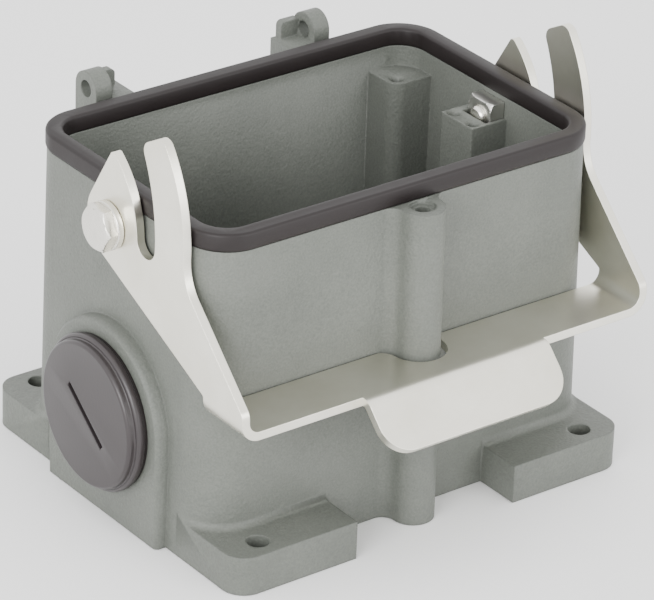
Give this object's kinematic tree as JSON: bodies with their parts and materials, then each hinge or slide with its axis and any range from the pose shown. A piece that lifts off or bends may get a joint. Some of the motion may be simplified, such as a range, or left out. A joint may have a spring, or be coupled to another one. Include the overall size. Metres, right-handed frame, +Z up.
{
  "type": "surface mounting connector housing",
  "caption": "Die-cast surface-mounting housing for double-width rectangular power connectors, with rim seal, single locking lever, hinge lugs and a plugged side cable entry.",
  "frame": {"origin": "centre of the four foot holes, on the underside of the housing", "axes": "+X along the housing's long axis, with the plugged cable entry at the -X end; -Y towards the lever bar and the front boss; +Z up out of the mouth"},
  "size_m": [0.1512, 0.137, 0.1226],
  "materials": {
    "housing_paint": "fine-textured grey coat on die-cast aluminium",
    "seal_rubber": "satin moulded rubber",
    "lever_steel": "satin bare sheet",
    "bolt_steel": "bright turned",
    "washer_steel": "satin",
    "nut_steel": "plated",
    "plug_plastic": "semi-gloss moulded"
  },
  "bodies": {
    "base": {"housing": "housing_paint", "rim_seal": "seal_rubber", "pivot_bolt_left": "bolt_steel", "pivot_bolt_right": "bolt_steel", "pivot_collar_left": "bolt_steel", "pivot_collar_right": "bolt_steel", "inner_washer_left": "washer_steel", "inner_washer_right": "washer_steel", "square_nut_left": "nut_steel", "square_nut_right": "nut_steel", "blanking_plug": "plug_plastic", "plug_gasket": "seal_rubber"},
    "lever": {"locking_lever": "lever_steel"}
  },
  "joints": [
    {"name": "lever_swing", "type": "hinge", "parent": "base", "child": "lever", "pos_m": [0, -0.001, 0.0886], "axis": [-1, 0, 0], "range_deg": [0, 92]}
  ]
}
